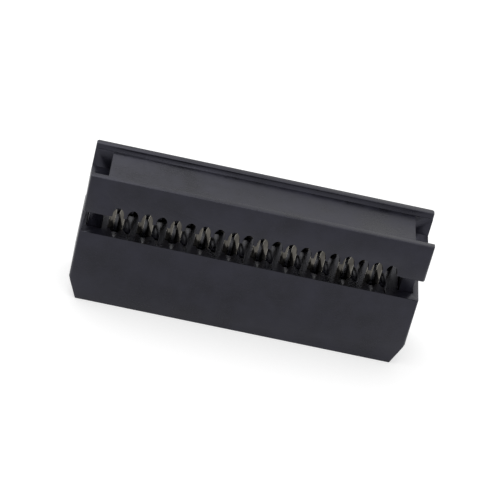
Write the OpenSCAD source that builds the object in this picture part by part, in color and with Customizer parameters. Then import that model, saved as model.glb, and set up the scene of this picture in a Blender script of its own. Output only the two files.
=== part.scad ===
// Ribbon cable socket connector, two rows of sockets, with its press-down cover at the pre-latch height.
// X runs along the connector, Y through its thickness and Z up from the mating face, which is at z = 0.
// The plain broad face looks towards -Y, and the polarising key stands on the +Y face.

/* [Socket grid] */
// Number of socket columns in each of the two rows
columns = 10; // [3:1:16]
// Distance between neighbouring columns, and between the two rows
pitch = 2.54; // [2.50:0.01:2.80]
// Side of the square hole that a mating pin passes
hole_w = 1.0; // [0.8:0.05:1.2]
// Side of the funnel round each hole at the mating face
funnel_w = 1.5; // [1.3:0.05:1.8]
// Depth of the funnel
funnel_depth = 0.4; // [0.2:0.05:0.6]
// Thickness of the wall that the square holes pass
entry_wall = 0.85; // [0.7:0.05:1.2]

/* [Housing] */
// Thickness of the housing and of the cover, between their broad faces
body_t = 6.0; // [5.6:0.1:7.6]
// Height of the housing, from the mating face to the cable side
housing_h = 7.1; // [6.4:0.1:9.0]
// Length from the centre of the last socket to the end of the housing
end_length = 3.67; // [3.6:0.01:5.0]
// Radius of the upright edges of the housing and the cover
edge_r = 0.25; // [0.1:0.05:0.4]
// Length of the slanted corner at each end of the mating face
corner_l = 0.9; // [0.4:0.05:1.0]
// Height of that slanted corner
corner_h = 2.15; // [1.2:0.05:2.6]
// Depth of the cable grooves in the top of the housing
bed_depth = 0.28; // [0.1:0.02:0.4]
// Diameter of the two small moulding dimples in the mating face
dimple_d = 0.55; // [0.3:0.05:0.8]
// Depth of the dimples
dimple_depth = 0.12; // [0.05:0.01:0.3]
// Distance from the last socket to its dimple, along the row
dimple_out = 1.7; // [1.2:0.05:1.9]
// Distance from the plain broad face to the dimples
dimple_in = 0.8; // [0.5:0.05:1.4]

/* [Polarising key] */
// Width of the key
key_w = 4.4; // [3:0.1:5]
// How far the key stands out from the broad face
key_out = 0.95; // [0.5:0.05:1.3]
// Height of the key above the mating face
key_h = 6.8; // [4:0.1:7.1]
// Bevel at the key's leading end and along its edges
key_bevel = 0.3; // [0.1:0.05:0.4]

/* [Cover] */
// Open height between the housing and the cover, where the cable goes in
cover_gap = 2.05; // [1.6:0.05:2.5]
// Play that is left under the cover when it is pressed home
seat_play = 0.05; // [0.03:0.01:0.1]
// Thickness left over the fork pockets, under the channel in the top
roof_t = 0.5; // [0.4:0.05:1.0]
// Thickness of the two long rims on the top
rim_t = 0.65; // [0.4:0.05:1.0]
// Height of the rims above the channel's floor
rim_h = 0.5; // [0.3:0.05:0.9]
// Length of the open notch at each end of the top
notch_l = 1.6; // [1.0:0.05:2.4]
// Width of the notch
notch_w = 3.6; // [2.6:0.1:4.4]
// Thickness of the shelf that is left under the notch and carries the leg
shelf_t = 1.45; // [1.0:0.05:2.0]
// Length of the plain foot at each end of the cover's underside
foot_l = 2.2; // [1.6:0.05:2.4]
// How far the ridges between the cable grooves stay above the feet
ridge_rise = 0.3; // [0.2:0.05:0.5]
// Depth of the cable grooves above the ridges
groove_depth = 0.4; // [0.2:0.05:0.45]
// Radius of the cable grooves in the cover and the housing
groove_r = 0.5; // [0.45:0.01:0.6]

/* [Cover legs] */
// Distance from the end of the connector to the leg's outer face
leg_inset = 0.6; // [0.5:0.05:0.8]
// Thickness of each leg
leg_t = 1.2; // [0.8:0.05:1.3]
// Width of each leg
leg_w = 3.8; // [2.8:0.1:4.2]
// Clearance between a leg and its pocket in the housing
leg_clear = 0.08; // [0.05:0.01:0.15]
// How far the barb stands out from the leg
barb_out = 0.25; // [0.15:0.01:0.35]
// Height of the barb
barb_h = 0.5; // [0.3:0.05:0.8]
// Width of the barb
barb_w = 2.6; // [1.2:0.1:3.0]
// Width of the window in the housing's end
window_w = 3.4; // [3.1:0.1:3.8]
// Height of the floor of the leg's pocket above the mating face
pocket_floor = 1.15; // [1.0:0.05:1.4]
// Height of the rung above the floor of the pocket
rung_up = 1.05; // [0.8:0.05:1.2]
// Height of the rung that crosses the window in the housing's end
rung_h = 0.7; // [0.4:0.05:0.9]
// Thickness of the rung
rung_t = 0.28; // [0.15:0.01:0.3]

/* [Contacts] */
// Thickness of the contact strip
strip_t = 0.3; // [0.2:0.02:0.36]
// Distance from the connector's middle plane to each row of contacts
strip_y = 1.45; // [1.27:0.01:1.55]
// Clearance between a contact and the slot that holds it
slot_clear = 0.04; // [0.03:0.01:0.06]
// Depth of the contact's shoulder below the top of the housing
seat_depth = 2.5; // [2.0:0.1:3.0]
// Height of the contact's wide plate above its shoulder
plate_h = 1.7; // [1.0:0.1:1.9]
// Width of the cable fork
fork_w = 1.3; // [1.1:0.02:1.4]
// How far the fork stands up from the top of the housing
fork_rise = 2.6; // [2.2:0.05:3.0]
// Width of the slot that cuts into a wire
fork_slot = 0.28; // [0.2:0.01:0.36]
// Depth of the V-shaped mouth between the two points of the fork
mouth_depth = 0.75; // [0.5:0.05:0.9]
// Distance between the two points of the fork
point_gap = 0.86; // [0.7:0.02:0.96]
// Height of the slopes outside the points
point_h = 0.4; // [0.2:0.05:0.6]
// How far the fork's slot reaches below the top of the housing
slot_below = 0.35; // [0.2:0.05:0.6]
// Outer width over the two spring beams
beams_w = 1.56; // [1.4:0.02:1.64]
// Width between the two spring beams at their root
beams_gap = 0.7; // [0.66:0.02:0.8]
// Width between the contact points at the tips, which spring apart for a pin
grip_gap = 0.5; // [0.4:0.02:0.58]
// Radius of the rounded tip of each beam
tip_r = 0.28; // [0.2:0.01:0.3]

/* [Hidden] */
$fn = 48;
eps = 0.05;
CONTACTS = [for (k = [1 : 2 * columns]) str("contact_", k < 10 ? "0" : "", k)];
plastic = "#29292d";
metal = "#cdc6b3";

// The cable's wires lie at half the socket pitch.
wire_pitch = pitch / 2;
half_l = (columns - 1) * pitch / 2 + end_length;
// The cover's travel from the pre-latch height down to the housing.
travel = cover_gap - seat_play;
cover_z = housing_h + cover_gap;
fork_top = housing_h + fork_rise;
// The pockets clear the forks when the cover is pressed home.
pocket_play = 0.15;
fork_pocket_top = fork_top + travel + pocket_play;
channel_z = fork_pocket_top + roof_t;
cover_top = channel_z + rim_h;
// The leg and its window leave room for the travel.
barb_z = pocket_floor + travel + seat_play;
window_top = barb_z + barb_h + seat_play;
// The contact's levels.
seat_z = housing_h - seat_depth;
plate_top = seat_z + plate_h;
tip_z = entry_wall + 0.15;
// Room round the spring beams, so that they can spread.
beam_play = 0.17;
cavity_w = beams_w + 2 * beam_play;
cavity_t = 1.0;

function socket_x(column) = (column - (columns + 1) / 2) * pitch;
function wire_x(wire) = (wire - (2 * columns + 1) / 2) * wire_pitch;

// A copy of the children at each end of the connector.
module both_ends() {
    for (turn = [0, 180]) rotate([0, 0, turn]) children();
}

// A profile drawn in X and Z, made w thick about the middle plane.
module upright(w) {
    rotate([90, 0, 0]) linear_extrude(w, center = true) children();
}

// Puts what belongs to one wire's contact in place: odd wires in the -Y row and even ones turned into the +Y row.
module at_contact(wire) {
    translate([socket_x(ceil(wire / 2)), 0, 0]) rotate([0, 0, wire % 2 == 0 ? 180 : 0]) children();
}

// The plan of the housing and of the cover, with rounded corners.
module plan() {
    square([2 * half_l - 2 * edge_r, body_t], center = true);
    square([2 * half_l, body_t - 2 * edge_r], center = true);
    for (sx = [-1, 1], sy = [-1, 1])
        translate([sx * (half_l - edge_r), sy * (body_t / 2 - edge_r)]) circle(edge_r);
}

// One groove for each wire of the cable, all with their axes at height z.
module wire_grooves(z) {
    for (wire = [1 : 2 * columns])
        translate([wire_x(wire), 0, z]) rotate([90, 0, 0]) cylinder(h = body_t + 2, r = groove_r, center = true);
}

// ---- Housing ----

// The slanted lower corners seen from the broad side.
module housing_profile() {
    polygon([
        [-half_l + corner_l, 0], [half_l - corner_l, 0], [half_l, corner_h],
        [half_l, housing_h], [-half_l, housing_h], [-half_l, corner_h]
    ]);
}

// The key's plan is a bevelled bar on the +Y face, and its leading end slopes too.
module polarising_key() {
    root_y = body_t / 2 - 0.5;
    key_y = body_t / 2 + key_out;
    intersection() {
        linear_extrude(key_h)
            polygon([
                [-key_w / 2, root_y], [key_w / 2, root_y], [key_w / 2, key_y - key_bevel],
                [key_w / 2 - key_bevel, key_y], [-key_w / 2 + key_bevel, key_y], [-key_w / 2, key_y - key_bevel]
            ]);
        rotate([90, 0, 90]) linear_extrude(key_w + 2, center = true)
            polygon([
                [root_y, 0], [key_y - key_bevel - 0.15, 0], [key_y, 2 * key_bevel],
                [key_y, key_h - key_bevel], [key_y - key_bevel, key_h], [root_y, key_h]
            ]);
    }
}

// Square funnels: V-shaped troughs along X and along Y that cross at each socket.
module funnel_trough(length) {
    slope = (funnel_w - hole_w) / 2 / funnel_depth;
    mouth = funnel_w / 2 + slope * eps;
    upright(length)
        polygon([[-mouth, -eps], [mouth, -eps], [hole_w / 2, funnel_depth], [-hole_w / 2, funnel_depth]]);
}

module socket_holes() {
    intersection() {
        for (column = [1 : columns]) translate([socket_x(column), 0, 0]) funnel_trough(body_t);
        for (row = [-1, 1]) translate([0, row * pitch / 2, 0]) rotate([0, 0, 90]) funnel_trough(2 * half_l);
    }
    for (column = [1 : columns], row = [-1, 1])
        translate([socket_x(column) - hole_w / 2, row * pitch / 2 - hole_w / 2, funnel_depth - eps])
            cube([hole_w, hole_w, entry_wall - funnel_depth + 2 * eps]);
}

// The room inside the housing for one contact: a chamber for the beams, and the slot that it is pushed in through.
module contact_cavity() {
    translate([-cavity_w / 2, -pitch / 2 - cavity_t / 2, entry_wall]) cube([cavity_w, cavity_t, seat_z - entry_wall]);
    slot_l = -wire_pitch / 2 - fork_w / 2 - slot_clear;
    slot_r = beams_w / 2 + slot_clear;
    translate([slot_l, -strip_y - strip_t / 2 - slot_clear, seat_z])
        cube([slot_r - slot_l, strip_t + 2 * slot_clear, seat_depth + 1]);
}

// The pocket for a cover leg, with a window in the end wall that a rung crosses.
module leg_pocket() {
    outer_x = half_l - leg_inset + leg_clear;
    pocket_w = leg_w + 2 * leg_clear;
    translate([outer_x - leg_t - 2 * leg_clear, -pocket_w / 2, pocket_floor])
        cube([leg_t + 2 * leg_clear, pocket_w, housing_h]);
    translate([outer_x - eps, -window_w / 2, pocket_floor]) difference() {
        cube([leg_inset + 1, window_w, window_top - pocket_floor]);
        translate([half_l - rung_t - outer_x + eps, -1, rung_up]) cube([leg_inset + 1, window_w + 2, rung_h]);
    }
}

module housing() {
    color(plastic) difference() {
        union() {
            intersection() {
                upright(body_t) housing_profile();
                linear_extrude(housing_h) plan();
            }
            polarising_key();
        }
        socket_holes();
        for (wire = [1 : 2 * columns]) at_contact(wire) contact_cavity();
        both_ends() leg_pocket();
        wire_grooves(housing_h + groove_r - bed_depth);
        for (side = [-1, 1])
            translate([side * (socket_x(columns) + dimple_out), dimple_in - body_t / 2, -1])
                cylinder(h = dimple_depth + 1, d = dimple_d);
    }
}

// ---- Cover ----

module cover_leg() {
    outer_x = half_l - leg_inset;
    translate([outer_x - leg_t, -leg_w / 2, barb_z]) cube([leg_t, leg_w, cover_z + eps - barb_z]);
    upright(barb_w)
        polygon([
            [outer_x - eps, barb_z], [outer_x, barb_z],
            [outer_x + barb_out, barb_z + barb_h], [outer_x - eps, barb_z + barb_h]
        ]);
}

// The pocket that one fork stands in.
module fork_pocket() {
    pocket_w = fork_w + 0.2;
    pocket_t = strip_t + 0.24;
    translate([-wire_pitch / 2 - pocket_w / 2, -strip_y - pocket_t / 2, cover_z - 1])
        cube([pocket_w, pocket_t, fork_pocket_top - cover_z + 1]);
}

module end_notch() {
    translate([half_l - notch_l, -notch_w / 2, cover_z + shelf_t]) cube([notch_l + 1, notch_w, cover_top]);
}

module cover() {
    color(plastic) difference() {
        union() {
            translate([0, 0, cover_z]) linear_extrude(cover_top - cover_z) plan();
            both_ends() cover_leg();
        }
        translate([-half_l - 1, -body_t / 2 + rim_t, channel_z]) cube([2 * half_l + 2, body_t - 2 * rim_t, rim_h + 1]);
        both_ends() end_notch();
        translate([-half_l + foot_l, -body_t / 2 - 1, cover_z - 1])
            cube([2 * (half_l - foot_l), body_t + 2, ridge_rise + 1]);
        wire_grooves(cover_z + ridge_rise + groove_depth - groove_r);
        for (wire = [1 : 2 * columns]) at_contact(wire) fork_pocket();
    }
}

// ---- Contacts ----

// The forked blade with its two points, and the plate under it, whose small teeth hold in the slot's walls.
module fork_and_plate() {
    fork_x = -wire_pitch / 2;
    tooth_z = plate_top - 0.5;
    tooth_h = 0.45;
    tooth_out = slot_clear * 0.75;
    difference() {
        polygon([
            [fork_x - fork_w / 2, seat_z], [beams_w / 2, seat_z], [beams_w / 2, tooth_z - tooth_h],
            [beams_w / 2 + tooth_out, tooth_z], [beams_w / 2, tooth_z], [beams_w / 2, plate_top],
            [fork_x + fork_w / 2, plate_top], [fork_x + fork_w / 2, fork_top - point_h],
            [fork_x + point_gap / 2, fork_top], [fork_x + fork_slot / 2, fork_top - mouth_depth],
            [fork_x - fork_slot / 2, fork_top - mouth_depth], [fork_x - point_gap / 2, fork_top],
            [fork_x - fork_w / 2, fork_top - point_h], [fork_x - fork_w / 2, tooth_z],
            [fork_x - fork_w / 2 - tooth_out, tooth_z], [fork_x - fork_w / 2, tooth_z - tooth_h]
        ]);
        translate([fork_x - fork_slot / 2, housing_h - slot_below]) square([fork_slot, fork_rise]);
        translate([fork_x, housing_h - slot_below]) circle(fork_slot * 0.75);
    }
}

// Two beams that taper to rounded tips, with the gap for the pin between them.
module spring_beams() {
    tip_x = grip_gap / 2 + tip_r;
    beam_half = tip_r * 0.8;
    round_z = tip_z + tip_r;
    difference() {
        polygon([
            [-tip_x - beam_half, round_z], [tip_x + beam_half, round_z],
            [beams_w / 2, seat_z + eps], [-beams_w / 2, seat_z + eps]
        ]);
        polygon([
            [-tip_x + beam_half, round_z - eps], [tip_x - beam_half, round_z - eps],
            [beams_gap / 2, seat_z], [-beams_gap / 2, seat_z]
        ]);
    }
    for (side = [-1, 1]) translate([side * tip_x, round_z]) circle(tip_r);
}

module contact_outline() {
    difference() {
        union() {
            fork_and_plate();
            spring_beams();
        }
        translate([0, seat_z]) circle(beams_gap / 2);
    }
}

module contact(wire) {
    color(metal) at_contact(wire) translate([0, -strip_y, 0]) upright(strip_t) contact_outline();
}

housing();
cover();
for (wire = [1 : 2 * columns])
    contact(wire);
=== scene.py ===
"""Looks for the ribbon cable socket connector: rounded edges, moulded plastic, plated contacts, a white studio.

Every piece is made from its CAD node's own mesh, so it keeps that node's place and size.
"""

import math

import bmesh
import bpy
from mathutils import Matrix, Vector


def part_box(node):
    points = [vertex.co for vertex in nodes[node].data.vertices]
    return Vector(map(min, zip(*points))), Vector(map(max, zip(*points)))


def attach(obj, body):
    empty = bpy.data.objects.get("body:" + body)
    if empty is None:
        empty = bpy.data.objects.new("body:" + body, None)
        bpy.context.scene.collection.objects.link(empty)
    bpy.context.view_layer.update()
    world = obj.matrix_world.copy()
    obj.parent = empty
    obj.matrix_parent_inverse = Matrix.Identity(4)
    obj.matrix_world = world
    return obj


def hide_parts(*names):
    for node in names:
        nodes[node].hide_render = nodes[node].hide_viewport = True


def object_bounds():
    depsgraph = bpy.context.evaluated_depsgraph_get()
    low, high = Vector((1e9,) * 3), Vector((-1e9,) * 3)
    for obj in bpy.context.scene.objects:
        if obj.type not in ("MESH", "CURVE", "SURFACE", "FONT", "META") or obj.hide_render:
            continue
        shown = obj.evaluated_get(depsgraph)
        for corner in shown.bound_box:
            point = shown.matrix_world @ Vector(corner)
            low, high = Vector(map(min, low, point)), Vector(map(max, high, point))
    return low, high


MM = 0.001

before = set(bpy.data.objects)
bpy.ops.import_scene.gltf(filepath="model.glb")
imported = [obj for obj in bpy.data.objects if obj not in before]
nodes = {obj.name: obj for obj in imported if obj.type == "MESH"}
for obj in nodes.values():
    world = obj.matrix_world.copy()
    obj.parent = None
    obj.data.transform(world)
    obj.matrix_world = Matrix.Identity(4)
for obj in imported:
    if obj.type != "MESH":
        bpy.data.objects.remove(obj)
cad_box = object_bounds()
contact_names = sorted(name for name in nodes if name.startswith("contact_"))

# ---- The camera: straight at the object's middle ----

CAMERA_AZIMUTH = math.radians(-5.4)
CAMERA_ELEVATION = math.radians(33.7)
CAMERA_ROLL = math.radians(-14.8)
CAMERA_DISTANCE = 226 * MM
CAMERA_LENS = 185
SENSOR = 36


def make_camera():
    centre = (cad_box[0] + cad_box[1]) / 2
    across = Vector((math.cos(CAMERA_AZIMUTH), math.sin(CAMERA_AZIMUTH), 0))
    back = Vector((
        math.sin(CAMERA_AZIMUTH) * math.cos(CAMERA_ELEVATION),
        -math.cos(CAMERA_AZIMUTH) * math.cos(CAMERA_ELEVATION),
        math.sin(CAMERA_ELEVATION),
    ))
    up = back.cross(across)
    cos, sin = math.cos(CAMERA_ROLL), math.sin(CAMERA_ROLL)
    axes = Matrix((across * cos - up * sin, across * sin + up * cos, back)).transposed()
    data = bpy.data.cameras.new("camera")
    data.lens = CAMERA_LENS
    data.sensor_width = SENSOR
    data.clip_start, data.clip_end = 0.01, 20
    camera = bpy.data.objects.new("camera", data)
    camera.matrix_world = Matrix.Translation(centre + back * CAMERA_DISTANCE) @ axes.to_4x4()
    bpy.context.scene.collection.objects.link(camera)
    bpy.context.scene.camera = camera


make_camera()

# ---- Node helpers ----


def emptied(tree):
    """Clears a node tree and gives two functions that add nodes and links to it."""
    tree.nodes.clear()

    def add(kind, **settings):
        """A setting that the node itself has is set there, and any other one on the input of that name."""
        node = tree.nodes.new(kind)
        for key, value in settings.items():
            if hasattr(node, key):
                setattr(node, key, value)
            else:
                node.inputs[key.replace("_", " ")].default_value = value
        return node

    def link(source, target):
        tree.links.new(source, target)

    return add, link


def new_material(name):
    material = bpy.data.materials.new(name)
    material.use_nodes = True
    add, link = emptied(material.node_tree)
    return material, add, link


def noise(add, link, vector, size, detail=2.0, roughness=0.5):
    """Noise whose features are about size metres across."""
    node = add("ShaderNodeTexNoise", Scale=1 / size, Detail=detail, Roughness=roughness)
    link(vector, node.inputs["Vector"])
    return node.outputs["Fac"]


def spread(add, link, value, from_low, from_high, to_low, to_high):
    node = add("ShaderNodeMapRange", From_Min=from_low, From_Max=from_high, To_Min=to_low, To_Max=to_high)
    link(value, node.inputs["Value"])
    return node.outputs["Result"]


def math_node(add, link, operation, first, second):
    node = add("ShaderNodeMath", operation=operation)
    for socket, value in zip(node.inputs, (first, second)):
        if isinstance(value, (int, float)):
            socket.default_value = value
        else:
            link(value, socket)
    return node.outputs["Value"]


def mix_colour(add, link, factor, first, second):
    node = add("ShaderNodeMix", data_type="RGBA")
    link(factor, node.inputs["Factor"])
    for socket, value in ((node.inputs[6], first), (node.inputs[7], second)):
        if isinstance(value, tuple):
            socket.default_value = value
        else:
            link(value, socket)
    return node.outputs[2]


def stretched(add, link, vector, scale):
    node = add("ShaderNodeMapping", Scale=scale)
    link(vector, node.inputs["Vector"])
    return node.outputs["Vector"]


def grey(value, blue=1.0):
    return (value, value, value * blue, 1.0)


# ---- Materials ----


def moulded_plastic(name, base, flow_seed):
    """Glass-filled black plastic: cloudy tone, short fibre streaks along X, fine grain, and lighter edges that are
    partly wear and partly a painted highlight.
    """
    material, add, link = new_material(name)
    place = add("ShaderNodeTexCoord").outputs["Object"]
    shifted = add("ShaderNodeMapping", Location=(flow_seed * MM, 0, 0))
    link(place, shifted.inputs["Vector"])
    place = shifted.outputs["Vector"]

    clouds = noise(add, link, place, 3.2 * MM, detail=3.0, roughness=0.6)
    fibres = noise(add, link, stretched(add, link, place, (0.22, 1, 1)), 0.14 * MM, detail=3.0, roughness=0.7)
    grain = noise(add, link, place, 0.07 * MM, detail=2.0, roughness=0.6)
    edge = add("ShaderNodeAttribute", attribute_name="edge").outputs["Fac"]

    tone = spread(add, link, clouds, 0.35, 0.65, 0.0, 1.0)
    colour = mix_colour(add, link, tone, grey(base * 0.25, 1.6), grey(base * 1.6, 1.5))
    streak = spread(add, link, fibres, 0.58, 0.74, 0.0, 0.45)
    colour = mix_colour(add, link, streak, colour, grey(base * 2.8, 1.35))
    # Lighter bevelled edges: partly wear, partly a painted highlight along the edges.
    wear_and_highlight = math_node(add, link, "MULTIPLY", edge, spread(add, link, fibres, 0.35, 0.7, 0.15, 0.7))
    colour = mix_colour(add, link, wear_and_highlight, colour, grey(base * 2.8, 1.25))

    rough = spread(add, link, clouds, 0.3, 0.7, 0.23, 0.39)
    rough = math_node(add, link, "ADD", rough, spread(add, link, fibres, 0.3, 0.7, -0.05, 0.05))
    rough = math_node(add, link, "SUBTRACT", rough, math_node(add, link, "MULTIPLY", edge, 0.04))

    grain_height = math_node(add, link, "MULTIPLY", grain, 0.7)
    fibre_height = math_node(add, link, "MULTIPLY", fibres, 0.5)
    height = math_node(add, link, "ADD", grain_height, fibre_height)
    bump = add("ShaderNodeBump", Strength=0.5, Distance=0.014 * MM)
    link(height, bump.inputs["Height"])

    shader = add("ShaderNodeBsdfPrincipled")
    shader.inputs["IOR"].default_value = 1.42
    shader.inputs["Specular Tint"].default_value = (0.83, 0.83, 1.0, 1)
    link(colour, shader.inputs["Base Color"])
    link(rough, shader.inputs["Roughness"])
    link(bump.outputs["Normal"], shader.inputs["Normal"])
    link(shader.outputs["BSDF"], add("ShaderNodeOutputMaterial").inputs["Surface"])
    return material


# These metal colours are painted shade: several times darker than real plating, they stand in for the dark
# reflections on the contacts' flat faces.
DARK_SHADED_METAL = (0.060, 0.056, 0.050, 1)
LIGHT_SHADED_METAL = (0.105, 0.099, 0.088, 1)
ROLLED_METAL = (0.045, 0.042, 0.036, 1)
SHEARED_METAL = (0.10, 0.09, 0.075, 1)
# Painted glint: the bright colour laid on the contacts' bevelled edges.
PAINTED_GLINT_METAL = (0.42, 0.405, 0.36, 1)


def plated_metal(name):
    """Plated copper alloy: rolling marks up the strip, rougher sheared faces, and edges painted bright as a painted
    glint.

    The flat faces are darker than real plating, to match the photograph: painted shade that stands in for the dark
    reflections on them.
    """
    material, add, link = new_material(name)
    place = add("ShaderNodeTexCoord").outputs["Object"]
    edge = add("ShaderNodeAttribute", attribute_name="edge").outputs["Fac"]
    cut = add("ShaderNodeAttribute", attribute_name="cut").outputs["Fac"]

    patches = noise(add, link, place, 1.1 * MM, detail=2.0)
    rolled = noise(add, link, stretched(add, link, place, (1, 1, 0.06)), 0.05 * MM, detail=3.0, roughness=0.65)
    torn = noise(add, link, stretched(add, link, place, (1, 0.25, 1)), 0.045 * MM, detail=3.0, roughness=0.7)

    # Painted shade: both base tones are darkened for the dark reflections; the patches between them are random tone.
    tone = spread(add, link, patches, 0.35, 0.65, 0.0, 1.0)
    colour = mix_colour(add, link, tone, DARK_SHADED_METAL, LIGHT_SHADED_METAL)
    rolling_marks = spread(add, link, rolled, 0.45, 0.7, 0.0, 0.35)
    colour = mix_colour(add, link, rolling_marks, colour, ROLLED_METAL)
    sheared = math_node(add, link, "MULTIPLY", cut, spread(add, link, torn, 0.4, 0.65, 0.1, 0.7))
    colour = mix_colour(add, link, sheared, colour, SHEARED_METAL)
    # Painted glint: the bevelled edges take the bright colour.
    colour = mix_colour(add, link, edge, colour, PAINTED_GLINT_METAL)

    rough = spread(add, link, rolled, 0.3, 0.7, 0.08, 0.17)
    rough = math_node(add, link, "ADD", rough, math_node(add, link, "MULTIPLY", cut, 0.12))
    rough = math_node(add, link, "SUBTRACT", rough, math_node(add, link, "MULTIPLY", edge, 0.06))

    rolled_height = math_node(add, link, "MULTIPLY", rolled, 0.5)
    torn_height = math_node(add, link, "MULTIPLY", torn, cut)
    height = math_node(add, link, "ADD", rolled_height, torn_height)
    bump = add("ShaderNodeBump", Strength=0.3, Distance=0.006 * MM)
    link(height, bump.inputs["Height"])

    shader = add("ShaderNodeBsdfPrincipled", Metallic=1.0)
    link(colour, shader.inputs["Base Color"])
    link(rough, shader.inputs["Roughness"])
    link(bump.outputs["Normal"], shader.inputs["Normal"])
    link(shader.outputs["BSDF"], add("ShaderNodeOutputMaterial").inputs["Surface"])
    return material


# ---- Pieces from the CAD meshes ----

WELD = 0.0001 * MM
FLAT = math.radians(0.5)
CREASE = math.radians(15)
ROUNDED_FROM = math.radians(40)


def rounded_copy(name, cad_node, material, width_of, refine=None, segments=2):
    """A copy of a CAD node whose sharp outer edges are rounded.

    refine(point) moves each point first, and width_of(edge) gives each edge's rounding in metres. Known fault: at
    the bottoms of the cover's ridges the rounding overshoots and leaves thin flaps that pass through the forks.
    """
    bm = bmesh.new()
    bm.from_mesh(nodes[cad_node].data)
    bmesh.ops.remove_doubles(bm, verts=bm.verts, dist=WELD)
    if refine:
        for vertex in bm.verts:
            refine(vertex.co)
        bmesh.ops.remove_doubles(bm, verts=bm.verts, dist=WELD)
    bmesh.ops.dissolve_limit(bm, angle_limit=FLAT, verts=bm.verts, edges=bm.edges)
    weight = bm.edges.layers.float.new("bevel_weight_edge")
    widest = 0.0
    for edge in bm.edges:
        angle = edge.calc_face_angle_signed(0.0)
        width = width_of(edge) if angle > ROUNDED_FROM else 0.0
        edge[weight] = width
        widest = max(widest, width)
        edge.smooth = abs(angle) < CREASE or width > 0
    for edge in bm.edges:
        edge[weight] /= widest
    for face in bm.faces:
        face.smooth = True
        face.material_index = 0
    mesh = bpy.data.meshes.new(name + "_sharp")
    bm.to_mesh(mesh)
    bm.free()
    mesh.materials.append(material)
    mesh.materials.append(material)
    sharp = bpy.data.objects.new(name + "_sharp", mesh)
    bpy.context.scene.collection.objects.link(sharp)
    bevel = sharp.modifiers.new("edges", "BEVEL")
    bevel.limit_method = "WEIGHT"
    bevel.width = widest
    bevel.segments = segments
    bevel.material = 1
    bevel.use_clamp_overlap = False
    bevel.loop_slide = False
    bevel.harden_normals = True
    bevel.miter_outer = "MITER_ARC"
    bpy.context.view_layer.update()
    final = bpy.data.meshes.new_from_object(sharp.evaluated_get(bpy.context.evaluated_depsgraph_get()))
    bpy.data.objects.remove(sharp)
    edges = final.attributes.new("edge", "FLOAT", "FACE")
    edges.data.foreach_set("value", [float(p.material_index == 1) for p in final.polygons])
    final.polygons.foreach_set("material_index", [0] * len(final.polygons))
    final.materials.pop(index=1)
    final.name = name
    piece = bpy.data.objects.new(name, final)
    bpy.context.scene.collection.objects.link(piece)
    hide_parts(cad_node)
    return piece


def mark_cut_faces(piece):
    """Marks the sheared faces of a stamped strip: all those that don't look along Y."""
    attribute = piece.data.attributes.new("cut", "FLOAT", "FACE")
    attribute.data.foreach_set("value", [float(abs(p.normal.y) < 0.5) for p in piece.data.polygons])


OUTER_EDGE = 0.07 * MM
INNER_EDGE = 0.035 * MM
STRIP_EDGE = 0.022 * MM
SHORT_EDGE = 0.08 * MM
SHORT_INNER_EDGE = 0.02 * MM
TOUCH = 0.01 * MM
CORNER_ZONE = 0.26 * MM


def plastic_edge(cad_node, sharp_level=None):
    """The rule for a moulded piece: the edges round its outside are softer than those of its holes and grooves.

    Edges at sharp_level, and those that run out at a cable groove's end there, stay sharp, save at the piece's ends.
    """
    low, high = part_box(cad_node)
    broad = -low.y

    def outside(point):
        from_end, from_broad = high.x - abs(point.x), broad - abs(point.y)
        return min(from_end, from_broad) < TOUCH or max(from_end, from_broad) < CORNER_ZONE

    def at_level(point):
        return abs(point.z - sharp_level) < TOUCH and high.x - abs(point.x) > CORNER_ZONE + TOUCH

    def at_groove_end(point):
        return at_level(point) and broad - abs(point.y) < TOUCH

    def width_of(edge):
        points = [vertex.co for vertex in edge.verts]
        if sharp_level and (all(map(at_level, points)) or any(map(at_groove_end, points))):
            return 0.0
        if all(map(outside, points)):
            return OUTER_EDGE
        return SHORT_INNER_EDGE if edge.calc_length() < SHORT_EDGE else INNER_EDGE

    return width_of


# The forms that are finer here than in the CAD: each cable groove of the housing ends in a point at the broad face,
# so that the top edge is straight, the cover's comb is deeper, and its end notches are wider.
CABLE_PITCH = 1.27 * MM
GROOVE_REACH = 0.4 * MM
COVER_HEIGHT = 3.70 * MM
HOUSING_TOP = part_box("housing")[1].z
BROAD_Y = -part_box("housing")[0].y
COVER_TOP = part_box("cover")[1].z
COVER_FOOT = COVER_TOP - COVER_HEIGHT
RIDGE = COVER_FOOT + 0.30 * MM
GROOVE_TOP = RIDGE + 0.40 * MM
FINE_RIDGE = COVER_FOOT + 0.04 * MM
FINE_GROOVE_TOP = COVER_FOOT + 1.00 * MM
SHELF = COVER_FOOT + 1.45 * MM
NOTCH_Y, FINE_NOTCH_Y = 1.80 * MM, 2.20 * MM


def refine_housing(point):
    """Draws the end of each cable groove together to one point on the top edge."""
    if abs(BROAD_Y - abs(point.y)) < TOUCH and HOUSING_TOP - GROOVE_REACH < point.z < HOUSING_TOP - WELD:
        point.z = HOUSING_TOP
        point.x = (math.floor(point.x / CABLE_PITCH) + 0.5) * CABLE_PITCH


def refine_cover(point):
    """Lowers the ridges, deepens the grooves between them and widens the end notches."""
    if abs(point.z - RIDGE) < TOUCH:
        point.z = FINE_RIDGE
    elif RIDGE < point.z < GROOVE_TOP + TOUCH:
        share = (point.z - RIDGE) / (GROOVE_TOP - RIDGE)
        point.z = RIDGE + share * (FINE_GROOVE_TOP - RIDGE)
    elif point.z > SHELF - TOUCH and abs(abs(point.y) - NOTCH_Y) < TOUCH:
        point.y = math.copysign(FINE_NOTCH_Y, point.y)


housing_plastic = moulded_plastic("housing_plastic_looks", base=0.0075, flow_seed=0.0)
cover_plastic = moulded_plastic("cover_plastic_looks", base=0.008, flow_seed=40.0)
contact_metal = plated_metal("contact_metal_looks")

housing_edge = plastic_edge("housing", sharp_level=HOUSING_TOP)
housing = rounded_copy("housing_looks", "housing", housing_plastic, housing_edge, refine_housing)
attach(housing, "base")

cover = rounded_copy("cover_looks", "cover", cover_plastic, plastic_edge("cover"), refine_cover)
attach(cover, "cover")

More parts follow.
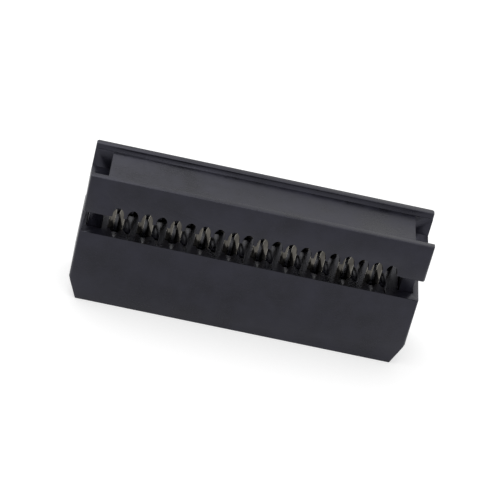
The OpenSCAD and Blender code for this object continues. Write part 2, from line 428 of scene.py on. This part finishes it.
for contact_name in contact_names:
    contact = rounded_copy(contact_name + "_looks", contact_name, contact_metal, lambda edge: STRIP_EDGE)
    mark_cut_faces(contact)
    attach(contact, "base")

# ---- The studio ----


def seen_directly(add, link):
    """1 for what the camera sees, directly or in gloss or glass, and 0 for the light that falls on things."""
    path = add("ShaderNodeLightPath")
    seen = math_node(add, link, "MAXIMUM", path.outputs["Is Camera Ray"], path.outputs["Is Glossy Ray"])
    return math_node(add, link, "MAXIMUM", seen, path.outputs["Is Transmission Ray"])


FLOOR_SIZE = 4.0
FLOOR_TONE = 0.60
FLOOR_LIFT = 0.56
FLOOR_DROP = 0.002 * MM


def make_floor():
    """A pale sheet that shows as white and still takes the object's shadow."""
    mesh = bpy.data.meshes.new("floor")
    half = FLOOR_SIZE / 2
    mesh.from_pydata([(-half, -half, 0), (half, -half, 0), (half, half, 0), (-half, half, 0)], [], [(0, 1, 2, 3)])
    floor = bpy.data.objects.new("floor", mesh)
    floor.location.z = cad_box[0].z - FLOOR_DROP
    bpy.context.scene.collection.objects.link(floor)
    material, add, link = new_material("floor_paper")
    diffuse = add("ShaderNodeBsdfDiffuse", Color=grey(FLOOR_TONE))
    lift = add("ShaderNodeEmission")
    link(math_node(add, link, "MULTIPLY", seen_directly(add, link), FLOOR_LIFT), lift.inputs["Strength"])
    both = add("ShaderNodeAddShader")
    link(diffuse.outputs["BSDF"], both.inputs[0])
    link(lift.outputs["Emission"], both.inputs[1])
    link(both.outputs["Shader"], add("ShaderNodeOutputMaterial").inputs["Surface"])
    mesh.materials.append(material)


ROOM_LIGHT = 0.55


def make_world():
    """An even white room, weaker in what it throws on things than in what is seen of it."""
    world = bpy.data.worlds.new("studio")
    world.use_nodes = True
    bpy.context.scene.world = world
    add, link = emptied(world.node_tree)
    strength = spread(add, link, seen_directly(add, link), 0, 1, ROOM_LIGHT, 1.0)
    background = add("ShaderNodeBackground", Color=(1, 1, 1, 1))
    link(strength, background.inputs["Strength"])
    link(background.outputs["Background"], add("ShaderNodeOutputWorld").inputs["Surface"])


def add_softbox(name, place, size, power):
    """A square area lamp that looks at the origin."""
    data = bpy.data.lights.new(name, "AREA")
    data.shape = "SQUARE"
    data.size = size
    data.energy = power
    box = bpy.data.objects.new(name, data)
    box.location = place
    box.rotation_euler = (-Vector(place)).to_track_quat("-Z", "Y").to_euler()
    bpy.context.scene.collection.objects.link(box)


make_floor()
make_world()
add_softbox("key_light", (-0.12, 0.14, 0.60), 0.6, 2.2)
add_softbox("fill_light", (0.30, -0.45, 0.40), 0.5, 0.35)

bpy.context.scene.view_settings.view_transform = "Standard"

bpy.context.view_layer.update()
